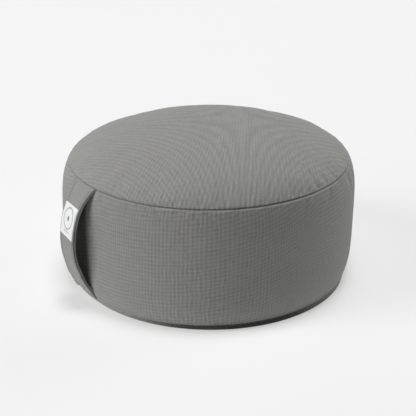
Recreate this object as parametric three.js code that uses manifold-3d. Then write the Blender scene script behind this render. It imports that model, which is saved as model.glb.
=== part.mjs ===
// Zafu meditation cushion: a round, firmly filled floor cushion. Its top, side band and bottom are sewn
// into one closed cover, a folded carry strap is caught in both seams on one side, and a blank label
// is stitched to the strap.
// Millimetres, +Z up. The origin is on the floor, at the middle of the flat base. The strap faces -Y.
import * as THREE from 'three';
import { mergeVertices } from 'three/addons/utils/BufferGeometryUtils.js';
import Module from 'manifold-3d';

// Cushion sizes
const SEAM_RADIUS = 158;
const BOTTOM_SEAM_HEIGHT = 5.2;
const TOP_SEAM_HEIGHT = 137.2;
const BAND_BULGE = 8.1;
const BAND_FULLNESS = 4.8;
const CROWN_RISE = 30.4;
const CROWN_ROUND = 3;
const CROWN_SHOULDER = 0.74;
const BASE_RADIUS = 156;
const SLUMP = { x: 1.4, y: 2.2 };
const TOP_TILT = { x: 0.0018, y: 0.0028 };

// Seam and pucker sizes
const SEAM_GROOVE = 1.3;
const SEAM_LIP = 0.7;
const PUCKER_DEPTH = 1.1;
const PUCKER_REACH = 17;
const BAND_RIPPLE = 0.5;
const CALM_NEAR_STRAP = 0.3;

// Strap sizes
const STRAP_WIDTH = 40;
const STRAP_THICKNESS = 3;
const STRAP_EDGE_ROUND = 1.1;
const STRAP_CENTRE = { x: 1.1, y: 1.7 };
const STRAP_STEPS = 44;
const STRAP_DENT = 3.4;
const STRAP_DENT_REACH = 13;

// Label sizes
const LABEL_WIDTH = 37;
const LABEL_THICKNESS = 1;
const LABEL_TOP = 115.5;
const LABEL_BOTTOM = 81.5;
const LABEL_STEPS = 9;

// Clearance between pieces that touch, and round the strap inside the seams
const GAP = 0.3;
const SEAM_CLEARANCE = 0.5;

// Mesh fineness
const COLUMNS = 160;
const BAND_ROWS = 10;

// Rings of the crown, from the seam inwards: share of the seam radius, and points in the ring
const CROWN_RINGS = [
  { share: 0.985, columns: COLUMNS },
  { share: 0.96, columns: COLUMNS },
  { share: 0.92, columns: COLUMNS },
  { share: 0.86, columns: COLUMNS },
  { share: 0.79, columns: COLUMNS },
  { share: 0.69, columns: COLUMNS / 2 },
  { share: 0.57, columns: COLUMNS / 2 },
  { share: 0.44, columns: COLUMNS / 4 },
  { share: 0.3, columns: COLUMNS / 4 },
  { share: 0.15, columns: COLUMNS / 8 },
];

// The strap's outer face at each height: how far out its +X edge and its -X edge stand
const STRAP_ROUTE = [
  { height: 137.4, right: 154.6, left: 154.2 },
  { height: 136.2, right: 157.4, left: 156.4 },
  { height: 130.5, right: 164.4, left: 161.3 },
  { height: 122, right: 171.7, left: 166.2 },
  { height: 112, right: 177.3, left: 171.3 },
  { height: 100, right: 181.3, left: 176.2 },
  { height: 86, right: 184.2, left: 178.8 },
  { height: 72, right: 184.7, left: 180.1 },
  { height: 58, right: 182.8, left: 179.2 },
  { height: 44, right: 178.3, left: 176.1 },
  { height: 30, right: 172.5, left: 172.1 },
  { height: 17, right: 164.7, left: 165 },
  { height: 7.5, right: 158.6, left: 158.4 },
  { height: 4.6, right: 155.8, left: 155.6 },
];

// Soft folds in the cover: beside which seam, where round it in degrees, and how wide, deep and long
const FOLDS = [
  { seam: 'top', side: 'panel', at: 14, wide: 9, deep: 1.8, long: 34 },
  { seam: 'top', side: 'panel', at: 27, wide: 8, deep: 2.2, long: 42 },
  { seam: 'top', side: 'panel', at: 2, wide: 7, deep: 1.5, long: 26 },
  { seam: 'top', side: 'panel', at: 41, wide: 9, deep: 1.6, long: 30 },
  { seam: 'top', side: 'panel', at: 118, wide: 10, deep: 1.3, long: 32 },
  { seam: 'top', side: 'panel', at: 168, wide: 8, deep: 1.6, long: 28 },
  { seam: 'top', side: 'panel', at: 238, wide: 7, deep: 1.4, long: 26 },
  { seam: 'top', side: 'band', at: 352, wide: 8, deep: 1.5, long: 20 },
  { seam: 'top', side: 'band', at: 30, wide: 7, deep: 1.7, long: 36 },
  { seam: 'top', side: 'band', at: 44, wide: 8, deep: 1.6, long: 44 },
  { seam: 'top', side: 'band', at: 291, wide: 7, deep: 1.3, long: 18 },
  { seam: 'top', side: 'band', at: 150, wide: 9, deep: 1.4, long: 30 },
  { seam: 'bottom', side: 'band', at: 0, wide: 9, deep: 1.5, long: 20 },
  { seam: 'bottom', side: 'band', at: 297, wide: 8, deep: 1.2, long: 18 },
  { seam: 'bottom', side: 'band', at: 95, wide: 10, deep: 1.3, long: 22 },
  { seam: 'bottom', side: 'band', at: 205, wide: 9, deep: 1.3, long: 20 },
];

const FULL_TURN = 2 * Math.PI;
const STRAP_ANGLE = -Math.PI / 2;

const wasm = await Module();
wasm.setup();

// A bell that is 1 at its middle and fades away over its reach
function bell(distance, reach) {
  return Math.exp(-((distance / reach) ** 2));
}

// The shorter way between two angles, from -pi to pi
function angleBetween(a, b) {
  return Math.atan2(Math.sin(a - b), Math.cos(a - b));
}

// How freely the cover puckers round the seam: nearly flat where the strap pulls it tight
function looseness(angle) {
  const pulled = bell(angleBetween(angle, STRAP_ANGLE), 0.3);
  return 1 - (1 - CALM_NEAR_STRAP) * pulled;
}

// The uneven gathering of a seam, from -1 to 1
function gathering(angle, seed) {
  const slow = 0.5 * Math.sin(7 * angle + 1.7 * seed);
  const middle = 0.3 * Math.sin(17 * angle + 2.9 * seed);
  const quick = 0.3 * Math.sin(29 * angle + 0.6 * seed);
  return slow + middle + quick;
}

// Which seam and which side of it a point of the cover belongs to
function zoneOf(height) {
  if (height > TOP_SEAM_HEIGHT) return { seam: 'top', side: 'panel' };
  const top = height > (TOP_SEAM_HEIGHT + BOTTOM_SEAM_HEIGHT) / 2;
  return { seam: top ? 'top' : 'bottom', side: 'band' };
}

// How deep the strap's sewn-in ends press into the band beside the seams
function strapDent(angle, fromSeam) {
  const along = angleBetween(angle, STRAP_ANGLE) * SEAM_RADIUS - STRAP_CENTRE.x;
  const under = Math.exp(-((along / (0.58 * STRAP_WIDTH)) ** 8));
  return STRAP_DENT * under * bell(fromSeam, STRAP_DENT_REACH);
}

// How far the cover stands in or out of its smooth form, a given way from the nearest seam
function unevenness(angle, height, fromSeam) {
  const zone = zoneOf(height);
  const seed = (zone.seam === 'top' ? 1 : 4) + (zone.side === 'panel' ? 1 : 0);
  const near = bell(fromSeam, PUCKER_REACH);
  let move = PUCKER_DEPTH * gathering(angle, seed) * near;
  move += BAND_RIPPLE * gathering(angle + 0.9, 3) * (1 - near);
  for (const fold of FOLDS) {
    if (fold.seam !== zone.seam || fold.side !== zone.side) continue;
    const along = angleBetween(angle, (fold.at / 360) * FULL_TURN) * SEAM_RADIUS;
    move -= fold.deep * bell(along, fold.wide) * bell(fromSeam, fold.long);
  }
  const dent = zone.side === 'band' ? strapDent(angle, fromSeam) : 0;
  return move * looseness(angle) - dent;
}

// The smooth profile of the cover, from the rim of the base to the last ring of the crown
function coverProfile() {
  const rows = [];
  const foot = SEAM_RADIUS - BASE_RADIUS;
  const bandHeight = TOP_SEAM_HEIGHT - BOTTOM_SEAM_HEIGHT;
  const bandRadius = (share) =>
    SEAM_RADIUS + BAND_BULGE * (1 - Math.abs(2 * share - 1) ** BAND_FULLNESS);
  const add = (radius, height, fromSeam, columns = COLUMNS) =>
    rows.push({ radius, height, fromSeam, columns });

  add(BASE_RADIUS, 0, foot);
  add(BASE_RADIUS + 0.62 * foot, 0.24 * BOTTOM_SEAM_HEIGHT, foot / 2);
  add(SEAM_RADIUS + 0.1, BOTTOM_SEAM_HEIGHT - SEAM_GROOVE, 0);
  add(SEAM_RADIUS - SEAM_GROOVE, BOTTOM_SEAM_HEIGHT, 0);
  add(SEAM_RADIUS + SEAM_LIP, BOTTOM_SEAM_HEIGHT + SEAM_GROOVE, 0);

  for (let row = 1; row < BAND_ROWS; row += 1) {
    // Rows are closest beside the seams, where the band turns in
    const share = 0.5 - 0.5 * Math.cos((Math.PI * (row + 0.2)) / (BAND_ROWS + 0.4));
    const fromSeam = Math.min(share, 1 - share) * bandHeight;
    add(bandRadius(share), BOTTOM_SEAM_HEIGHT + share * bandHeight, fromSeam);
  }

  add(SEAM_RADIUS + SEAM_LIP + 0.5, TOP_SEAM_HEIGHT - 1.5 * SEAM_GROOVE, 0);
  add(SEAM_RADIUS - SEAM_GROOVE, TOP_SEAM_HEIGHT, 0);
  add(SEAM_RADIUS - 0.2, TOP_SEAM_HEIGHT + 0.9 * SEAM_GROOVE, 0);

  for (const ring of CROWN_RINGS) {
    const rise = CROWN_RISE * (1 - ring.share ** CROWN_ROUND) ** CROWN_SHOULDER;
    const fromSeam = (1 - ring.share) * SEAM_RADIUS + 0.5 * rise;
    add(ring.share * SEAM_RADIUS, TOP_SEAM_HEIGHT + rise, fromSeam, ring.columns);
  }
  return rows;
}

// The way out of the profile at each of its rows
function profileNormals(rows) {
  return rows.map((row, index) => {
    const before = rows[Math.max(index - 1, 0)];
    const after = rows[Math.min(index + 1, rows.length - 1)];
    const along = new THREE.Vector2(after.radius - before.radius, after.height - before.height);
    return new THREE.Vector2(along.y, -along.x).normalize();
  });
}

// The whole cover leans and tilts a little, as a filled cushion settles
function settle(point) {
  const share = point.z / TOP_SEAM_HEIGHT;
  const tilt = (TOP_TILT.x * point.x + TOP_TILT.y * point.y) * share;
  return new THREE.Vector3(point.x + SLUMP.x * share, point.y + SLUMP.y * share, point.z + tilt);
}

// One ring of the cover, grown outwards by a given amount
function coverRing(row, normal, grow) {
  const ring = [];
  const onFloor = row.height === 0;
  for (let column = 0; column < row.columns; column += 1) {
    const angle = (column / row.columns) * FULL_TURN;
    const wave = onFloor ? 0 : unevenness(angle, row.height, row.fromSeam);
    const radius = row.radius + normal.x * wave + (onFloor ? grow : normal.x * grow);
    const height = onFloor ? -grow : Math.max(row.height + normal.y * (wave + grow), 0.4);
    ring.push(settle(new THREE.Vector3(radius * Math.cos(angle), radius * Math.sin(angle), height)));
  }
  return ring;
}

// A closed solid from rings that are stacked along it, each with its points the same way round.
// A ring may have half the points of the one before it. The first ring is closed by faces of its
// own or by a fan to a point, and the last by a fan to a point.
function loft(rings, { startFaces = [], startPoint = null, endPoint }) {
  const vertices = rings.flat();
  const faces = [...startFaces];
  let start = 0;
  for (let index = 0; index + 1 < rings.length; index += 1) {
    const size = rings[index].length;
    const nextSize = rings[index + 1].length;
    const next = start + size;
    const here = (i) => start + (i % size);
    const there = (i) => next + (i % nextSize);
    for (let i = 0; i < nextSize; i += 1) {
      if (size === nextSize) {
        faces.push([here(i), here(i + 1), there(i + 1)], [here(i), there(i + 1), there(i)]);
      } else {
        faces.push([here(2 * i), here(2 * i + 1), there(i)]);
        faces.push([here(2 * i + 1), there(i + 1), there(i)]);
        faces.push([here(2 * i + 1), here(2 * i + 2), there(i + 1)]);
      }
    }
    start = next;
  }
  const endSize = rings[rings.length - 1].length;
  const end = vertices.push(endPoint) - 1;
  for (let i = 0; i < endSize; i += 1) faces.push([start + i, start + ((i + 1) % endSize), end]);
  if (startPoint) {
    const startSize = rings[0].length;
    const hub = vertices.push(startPoint) - 1;
    for (let i = 0; i < startSize; i += 1) faces.push([(i + 1) % startSize, i, hub]);
  }
  return meshGeometry(vertices, faces);
}

// A geometry from shared vertices and faces
function meshGeometry(vertices, faces) {
  const geometry = new THREE.BufferGeometry();
  const positions = vertices.flatMap((vertex) => [vertex.x, vertex.y, vertex.z]);
  geometry.setAttribute('position', new THREE.Float32BufferAttribute(positions, 3));
  geometry.setIndex(faces.flat());
  return geometry;
}

// The flat face inside the first ring, looking away from the rest of the rings
function flatFaces(ring) {
  const outline = ring.map((point) => new THREE.Vector2(point.x, point.y));
  return THREE.ShapeUtils.triangulateShape(outline, []).map(([a, b, c]) => [c, b, a]);
}

// The middle point of a ring
function middleOf(ring) {
  const sum = ring.reduce((total, point) => total.add(point), new THREE.Vector3());
  return sum.divideScalar(ring.length);
}

// The filled cushion, or the same form grown outwards by a given amount
function cushionGeometry(grow = 0) {
  const rows = coverProfile();
  const normals = profileNormals(rows);
  const rings = rows.map((row, index) => coverRing(row, normals[index], grow));
  const peak = settle(new THREE.Vector3(0, 0, TOP_SEAM_HEIGHT + CROWN_RISE + grow));
  return loft(rings, { startFaces: flatFaces(rings[0]), endPoint: peak });
}

// The two long edges of the strap's outer face
function strapEdges() {
  const edge = (side, column) => new THREE.CatmullRomCurve3(
    STRAP_ROUTE.map((row) => new THREE.Vector3(
      STRAP_CENTRE.x + (side * STRAP_WIDTH) / 2, STRAP_CENTRE.y - row[column], row.height)),
    false, 'centripetal');
  return { right: edge(1, 'right'), left: edge(-1, 'left') };
}

// Where the strap's outer face lies at a share of its length, with its own directions
function strapFrame(edges, share) {
  const right = edges.right.getPoint(share);
  const left = edges.left.getPoint(share);
  const along = edges.right.getTangent(share).add(edges.left.getTangent(share)).normalize();
  const across = right.clone().sub(left).normalize();
  const out = new THREE.Vector3().crossVectors(along, across).normalize();
  return { middle: right.clone().add(left).divideScalar(2), across, out };
}

// A flat section with rounded edges, as offsets across the strap and out from its outer face
function flatSection(width, top, bottom, round) {
  const half = width / 2;
  const thick = top - bottom;
  const middle = (top + bottom) / 2;
  const rightEdge = [
    [half - round, bottom], [half - 0.3 * round, bottom + 0.12 * thick], [half, middle],
    [half - 0.3 * round, top - 0.12 * thick], [half - round, top],
  ];
  const leftEdge = rightEdge.map(([across, out]) => [-across, top + bottom - out]);
  return [...rightEdge, [0, top], ...leftEdge, [0, bottom]];
}

// A ribbon that follows the strap between two shares of its length
function ribbonGeometry(section, from, to, steps) {
  const edges = strapEdges();
  const rings = [];
  for (let step = 0; step <= steps; step += 1) {
    const frame = strapFrame(edges, from + ((to - from) * step) / steps);
    rings.push(section.map(([across, out]) => frame.middle.clone()
      .addScaledVector(frame.across, across)
      .addScaledVector(frame.out, out)));
  }
  return loft(rings, { startPoint: middleOf(rings[0]), endPoint: middleOf(rings[steps]) });
}

// The share of the strap's length at which its outer face is at a given height
function shareAtHeight(height) {
  const edges = strapEdges();
  let low = 0;
  let high = 1;
  for (let turn = 0; turn < 30; turn += 1) {
    const share = (low + high) / 2;
    if (strapFrame(edges, share).middle.z > height) low = share;
    else high = share;
  }
  return (low + high) / 2;
}

// A closed geometry as a solid that can be joined and cut
function toSolid(geometry) {
  const bare = mergeVertices(geometry, 1e-4);
  return new wasm.Manifold(new wasm.Mesh({
    numProp: 3,
    vertProperties: new Float32Array(bare.getAttribute('position').array),
    triVerts: new Uint32Array(bare.getIndex().array),
  }));
}

// A solid as a geometry again
function toGeometry(solid) {
  const mesh = solid.getMesh();
  const geometry = new THREE.BufferGeometry();
  geometry.setAttribute('position', new THREE.BufferAttribute(mesh.vertProperties, 3));
  geometry.setIndex(new THREE.BufferAttribute(mesh.triVerts, 1));
  return geometry;
}

// The carry strap, trimmed where it meets the seams so that it stays just clear of the cushion
function handleGeometry() {
  const section = flatSection(STRAP_WIDTH, 0, -STRAP_THICKNESS, STRAP_EDGE_ROUND);
  const strap = toSolid(ribbonGeometry(section, 0, 1, STRAP_STEPS));
  const pieces = strap.subtract(toSolid(cushionGeometry(SEAM_CLEARANCE))).decompose();
  // What is cut loose inside the seams is left off
  pieces.sort((a, b) => b.volume() - a.volume());
  return toGeometry(pieces[0]);
}

// The blank label, just clear of the strap's outer face
function labelGeometry() {
  const section = flatSection(LABEL_WIDTH, GAP + LABEL_THICKNESS, GAP, LABEL_THICKNESS / 2);
  const from = shareAtHeight(LABEL_TOP);
  const to = shareAtHeight(LABEL_BOTTOM);
  return ribbonGeometry(section, from, to, LABEL_STEPS);
}

// A named mesh in its own cloth
function piece(name, geometry, color, roughness) {
  geometry.computeVertexNormals();
  const material = new THREE.MeshStandardMaterial({ color, roughness, metalness: 0 });
  const mesh = new THREE.Mesh(geometry, material);
  mesh.name = name;
  return mesh;
}

const zafu = new THREE.Group();
zafu.name = 'zafu';
zafu.add(piece('cushion', cushionGeometry(), 0x8f8e8a, 0.95));
zafu.add(piece('handle', handleGeometry(), 0x8c8b87, 0.95));
zafu.add(piece('label', labelGeometry(), 0xf0efec, 0.85));

export default zafu;
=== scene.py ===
"""A zafu meditation cushion: a round filled floor cushion in grey canvas with a folded carry strap.

The cover is one closed cloth form, filled and puckered by a cloth simulation between its sewn seams. The
strap is canvas folded double, with both ends caught in the seams, and it carries a white woven label with a
plain ring on it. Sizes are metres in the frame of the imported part: +Z up, the strap towards -Y.
"""

import logging
import math
from dataclasses import dataclass, field
from enum import Enum
from typing import Callable, Sequence

import bpy
import numpy as np
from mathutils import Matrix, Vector


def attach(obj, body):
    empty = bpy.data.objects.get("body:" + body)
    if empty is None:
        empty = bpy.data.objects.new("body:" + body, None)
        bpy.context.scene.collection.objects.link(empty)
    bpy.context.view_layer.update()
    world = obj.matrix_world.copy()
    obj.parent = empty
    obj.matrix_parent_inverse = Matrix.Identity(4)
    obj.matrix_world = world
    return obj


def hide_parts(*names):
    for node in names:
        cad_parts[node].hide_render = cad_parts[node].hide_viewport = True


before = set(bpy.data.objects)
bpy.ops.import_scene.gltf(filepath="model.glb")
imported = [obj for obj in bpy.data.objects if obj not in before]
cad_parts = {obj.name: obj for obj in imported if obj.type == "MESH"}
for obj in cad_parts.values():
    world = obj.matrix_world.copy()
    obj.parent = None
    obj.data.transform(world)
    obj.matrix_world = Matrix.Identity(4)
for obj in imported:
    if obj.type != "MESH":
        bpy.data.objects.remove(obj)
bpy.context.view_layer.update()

MM = 0.001
FULL_TURN = 2 * math.pi
RIGHT_TURN = math.radians(57)  # the camera's right, round from +X
BODY = "root"
log = logging.getLogger("zafu")


class Side(Enum):
    """The part of the cover that a fold or a row of points belongs to."""

    BASE = "base"
    BAND_LOW = "band, lower half"
    BAND_HIGH = "band, upper half"
    TOP = "top"


class Value:
    """A number in a shader that Python's operators work on."""

    def __init__(self, shader: "Shader", socket: bpy.types.NodeSocket) -> None:
        """Keep the shader and the socket that gives the number."""
        self.shader = shader
        self.socket = socket

    def _maths(self, operation: str, *others: "Value | float", clamp: bool = False) -> "Value":
        """Put a Math node on this number.

        Args:
            operation: the Math node's operation.
            others: the node's other inputs, as numbers or values.
            clamp: whether the result is kept from 0 to 1.

        Returns:
            The result as a value.
        """
        inputs = dict(enumerate((self, *others)))
        settings = {"operation": operation, "use_clamp": clamp}
        return Value(self.shader, self.shader.node("ShaderNodeMath", settings, inputs).outputs[0])

    def __add__(self, other: "Value | float") -> "Value":
        """This plus other."""
        return self._maths("ADD", other)

    __radd__ = __add__

    def __sub__(self, other: "Value | float") -> "Value":
        """This less other."""
        return self._maths("SUBTRACT", other)

    def __rsub__(self, other: float) -> "Value":
        """Other less this."""
        return self * -1 + other

    def __mul__(self, other: "Value | float") -> "Value":
        """This times other."""
        return self._maths("MULTIPLY", other)

    __rmul__ = __mul__

    def __pow__(self, other: "Value | float") -> "Value":
        """This to the power of other."""
        return self._maths("POWER", other)

    def __abs__(self) -> "Value":
        """The size of this, without its sign."""
        return self._maths("ABSOLUTE")

    def sine(self) -> "Value":
        """The sine of this, in radians."""
        return self._maths("SINE")

    def at_least(self, other: "Value | float") -> "Value":
        """The larger of this and other."""
        return self._maths("MAXIMUM", other)

    def kept(self) -> "Value":
        """This, kept from 0 to 1."""
        return self._maths("ADD", 0.0, clamp=True)

    def faded(self, width: float) -> "Value":
        """0 where this is 0 or less, rising to 1 over a width."""
        return (self * (1 / width)).kept()


class Shader:
    """A material's node tree with one Principled shader, and the one way that nodes are added to it."""

    def __init__(self, name: str) -> None:
        """Make the material and find its shader.

        Args:
            name: the material's name.
        """
        self.material = bpy.data.materials.new(name)
        self.material.use_nodes = True
        self.tree = self.material.node_tree
        self.tree.nodes.clear()
        self.surface = self.node("ShaderNodeBsdfPrincipled", {}, {})
        self.node("ShaderNodeOutputMaterial", {}, {"Surface": self.surface.outputs["BSDF"]})

    def node(self, kind: str, settings: dict[str, object], inputs: dict[object, object]) -> bpy.types.Node:
        """Add one node.

        Args:
            kind: the node's type.
            settings: its own properties, set first.
            inputs: the value, number, colour or link of each socket, by name or place.

        Returns:
            The new node.
        """
        node = self.tree.nodes.new(kind)
        for name, setting in settings.items():
            setattr(node, name, setting)
        for key, given in inputs.items():
            self._give(node.inputs[key], given)
        return node

    def _give(self, socket: bpy.types.NodeSocket, given: object) -> None:
        """Link or set one socket."""
        link = given.socket if isinstance(given, Value) else given
        if isinstance(link, bpy.types.NodeSocket):
            self.tree.links.new(link, socket)
        else:
            socket.default_value = link

    def _parts(self, place: bpy.types.NodeSocket) -> tuple[Value, ...]:
        """The three parts of a place."""
        parts = self.node("ShaderNodeSeparateXYZ", {}, {0: place})
        return tuple(Value(self, part) for part in parts.outputs)

    def _mixed(self, share: Value, first: object, second: object) -> bpy.types.NodeSocket:
        """A colour between two, by the share of the second."""
        return self.node("ShaderNodeMix", {"data_type": "RGBA"}, {0: share, 6: first, 7: second}).outputs[2]

    def cloth_places(self, layer: str = "cut") -> tuple[Value, Value]:
        """Where a point lies on its cloth as it was cut.

        Args:
            layer: the layer of places that is read.

        Returns:
            The places along the two thread directions, in metres, or counted in ribs in the layer "ribs".
        """
        across, along, _ = self._parts(self.node("ShaderNodeUVMap", {"uv_map": layer}, {}).outputs[0])
        return across, along

    def streaks(self, across: Value, along: Value, pitch: float, stretch: float, seed: float) -> Value:
        """Noise that is drawn out along one thread direction.

        Args:
            across: the place across the streaks.
            along: the place along them.
            pitch: how wide a streak is.
            stretch: how many times longer than wide it is.
            seed: a number that makes one noise differ from another.

        Returns:
            The noise, from about 0 to 1.
        """
        inputs = {0: across * (1 / pitch), 1: along * (1 / (pitch * stretch)), 2: seed}
        place = self.node("ShaderNodeCombineXYZ", {}, inputs)
        inputs = {"Vector": place.outputs[0], "Scale": 1.0, "Detail": 2.0, "Roughness": 0.5}
        return Value(self, self.node("ShaderNodeTexNoise", {"noise_dimensions": "3D"}, inputs).outputs[0])

    def tinted(
        self, light: Value, dark_colour: Sequence[float], light_colour: Sequence[float]
    ) -> bpy.types.NodeSocket:
        """A colour between two, by a value.

        Args:
            light: 0 for the dark colour and 1 for the light one.
            dark_colour: the colour at 0.
            light_colour: the colour at 1.

        Returns:
            The colour's socket.
        """
        return self._mixed(light, (*dark_colour, 1.0), (*light_colour, 1.0))

    def places(self) -> tuple[Value, ...]:
        """Where a point lies in the part's frame, in metres."""
        return self._parts(self.node("ShaderNodeTexCoord", {}, {}).outputs["Object"])

    def dimmed(self, colour: bpy.types.NodeSocket, share: Value) -> bpy.types.NodeSocket:
        """A colour of which a share is taken away.

        Args:
            colour: the colour.
            share: the share.

        Returns:
            The new colour's socket.
        """
        return self._mixed(share, colour, (0.0, 0.0, 0.0, 1.0))

    def feed(self, socket: str, given: object) -> None:
        """Link or set one socket of the Principled shader."""
        self._give(self.surface.inputs[socket], given)

    def roughen(self, share: Value, roughness: tuple[float, float]) -> None:
        """Set the roughness between two, by a share."""
        first, second = roughness
        self.feed("Roughness", (share * (second - first) + first).kept())

    def raise_surface(self, height: Value, distance: float, strength: float) -> None:
        """Raise the surface by a height, as a bump.

        Args:
            height: the height, from 0 to 1.
            distance: how far a height of 1 stands out, in metres.
            strength: the share of the bump that is used.
        """
        bump = self.node("ShaderNodeBump", {}, {"Strength": strength, "Distance": distance, "Height": height})
        self.feed("Normal", bump.outputs[0])


@dataclass(frozen=True)
class CanvasFinish:
    """Plain-woven cotton canvas with uneven, slubby yarns, and painted shade where light does not reach it.

    Contrasts and shares are of the colour or of the weave's depth. The shades are painted shade: shares of
    the colour that the cloth loses at its foot, in its top seam and behind the strap.
    """

    name: str
    colour: tuple[float, float, float]
    reach: float = 0.6
    warp_pitch: float = 0.784 * MM
    weft_pitch: float = 0.888 * MM
    warp_contrast: float = 0.10
    weft_contrast: float = 0.10
    yarn_height: float = 0.7
    crossing_height: float = 0.3
    slub_width: float = 1.5 * MM
    slub_stretch: float = 14.0
    slub_contrast: float = 0.19
    cloud_width: float = 30 * MM
    cloud_contrast: float = 0.04
    rib_contrast: tuple[float, float] = (0.056, 0.056)
    rib_wander: float = 0.75
    wander_width: float = 14 * MM
    patch_width: float = 7 * MM
    patch_stretch: float = 2.5
    patch_gain: float = 3.2
    patch_start: float = 0.6
    weave_depth: float = 0.3 * MM
    weave_share: float = 0.5
    slub_share: float = 0.3
    rib_depth: float = 0.11 * MM
    cross_rib_share: float = 0.8
    ground_share: float = 0.2
    # painted shade in the colour: how dark it is and where it lies at the foot, in the top seam and behind
    # the strap
    foot_shade: float = 0.0
    foot_height: float = 5.6 * MM
    foot_edge: float = 0.3
    foot_middle: float = 30 * MM
    foot_reach: float = 128 * MM
    foot_blur: float = 70 * MM
    seam_shade: float = 0.0
    seam_plane: tuple[float, float, float] = (0.0018, 0.0028, 137.2 * MM)
    seam_width: float = 0.9 * MM
    seam_edge: float = 0.6 * MM
    strap_shade: float = 0.0
    strap_middle: float = 1.1 * MM
    strap_reach: float = 18.5 * MM
    strap_taper: float = 0.055
    strap_level: float = 70 * MM
    strap_front: float = -105.6 * MM
    strap_heights: tuple[float, float] = (8 * MM, 132 * MM)
    edge_blur: float = 5 * MM
    roughness: tuple[float, float] = (0.97, 0.89)
    sheen: float = 0.12
    sheen_roughness: float = 0.5
    specular: float = 0.25

    def build(self) -> bpy.types.Material:
        """Make the material.

        Returns:
            The canvas material.
        """
        shader = Shader(self.name)
        u, v = shader.cloth_places()
        warp_wave = (u * (math.pi / self.warp_pitch)).sine()
        weft_wave = (v * (math.pi / self.weft_pitch)).sine()
        crossing = warp_wave * weft_wave * self.crossing_height
        warp = warp_wave * warp_wave
        weft = weft_wave * weft_wave
        thick_warp = shader.streaks(u, v, self.slub_width, self.slub_stretch, 1.0)
        thick_weft = shader.streaks(v, u, self.slub_width, self.slub_stretch, 7.0)
        slubs = thick_warp + thick_weft - 1.0
        clouds = shader.streaks(u, v, self.cloud_width, 1.0, 3.0) - 0.5

        along, across = shader.cloth_places("ribs")
        wander = (shader.streaks(u, v, self.wander_width, 1.0, 5.0) - 0.5) * self.rib_wander
        ribs_up = ((along + wander) * FULL_TURN).sine() * self._patches(shader, u, v, 9.0)
        ribs_across = ((across + wander) * FULL_TURN).sine() * self._patches(shader, v, u, 11.0)

        light = (warp - 0.5) * self.warp_contrast + (weft - 0.5) * self.weft_contrast
        light = light + ribs_up * self.rib_contrast[0] + ribs_across * self.rib_contrast[1]
        light = light + slubs * self.slub_contrast + clouds * self.cloud_contrast + 0.5
        dark_colour = [channel * (1 - self.reach) for channel in self.colour]
        light_colour = [channel * (1 + self.reach) for channel in self.colour]
        canvas = shader.tinted(light.kept(), dark_colour, light_colour)
        # painted shade: the cover's colour is darkened at its foot, in its top seam and behind the strap
        if self.foot_shade:
            canvas = shader.dimmed(canvas, self._painted_shade(shader))
        shader.feed("Base Color", canvas)

        weave = (warp * (crossing + self.yarn_height)).at_least(weft * (self.yarn_height - crossing))
        ribs = (ribs_up + ribs_across * self.cross_rib_share) * (self.rib_depth / self.weave_depth)
        height = weave * self.weave_share + slubs * self.slub_share + ribs + self.ground_share
        shader.raise_surface(height, self.weave_depth, 1.0)
        shader.roughen(weave, self.roughness)
        shader.feed("Sheen Weight", self.sheen)
        shader.feed("Sheen Roughness", self.sheen_roughness)
        shader.feed("Specular IOR Level", self.specular)
        return shader.material

    def _patches(self, shader: Shader, across: Value, along: Value, seed: float) -> Value:
        """How strong the ribs are from place to place.

        Args:
            shader: the shader.
            across: the place across the ribs.
            along: the place along them.
            seed: a number that makes one noise differ from another.

        Returns:
            The strength, 0 or more and 1 on average.
        """
        noise = shader.streaks(across, along, self.patch_width, self.patch_stretch, seed)
        return (noise * self.patch_gain - self.patch_start).at_least(0.0)

    def _painted_shade(self, shader: Shader) -> Value:
        """How much darker painted shade makes the cloth's colour: at its foot, in its top seam, behind the
        strap.

        Args:
            shader: the shader.

        Returns:
            The share of the colour that the painted shade takes away.
        """
        x, y, z = shader.places()
        off_middle = abs(x * math.cos(RIGHT_TURN) + y * math.sin(RIGHT_TURN) - self.foot_middle)
        dark_foot = (self.foot_reach - off_middle).faded(self.foot_blur) * self.foot_shade
        foot = (self.foot_height - z).faded(self.foot_edge * self.foot_height) * dark_foot
        from_seam = abs(z - x * self.seam_plane[0] - y * self.seam_plane[1] - self.seam_plane[2])
        seam = (self.seam_width - from_seam).faded(self.seam_edge) * self.seam_shade
        reach = (self.strap_level - z) * self.strap_taper + self.strap_reach
        near = (reach - abs(x - self.strap_middle)).faded(self.edge_blur)
        front = (self.strap_front - y).faded(self.edge_blur)
        above = (z - self.strap_heights[0]).faded(self.edge_blur)
        below = (self.strap_heights[1] - z).faded(self.edge_blur)
        return foot.at_least(seam).at_least(near * front * above * below * self.strap_shade)


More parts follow.
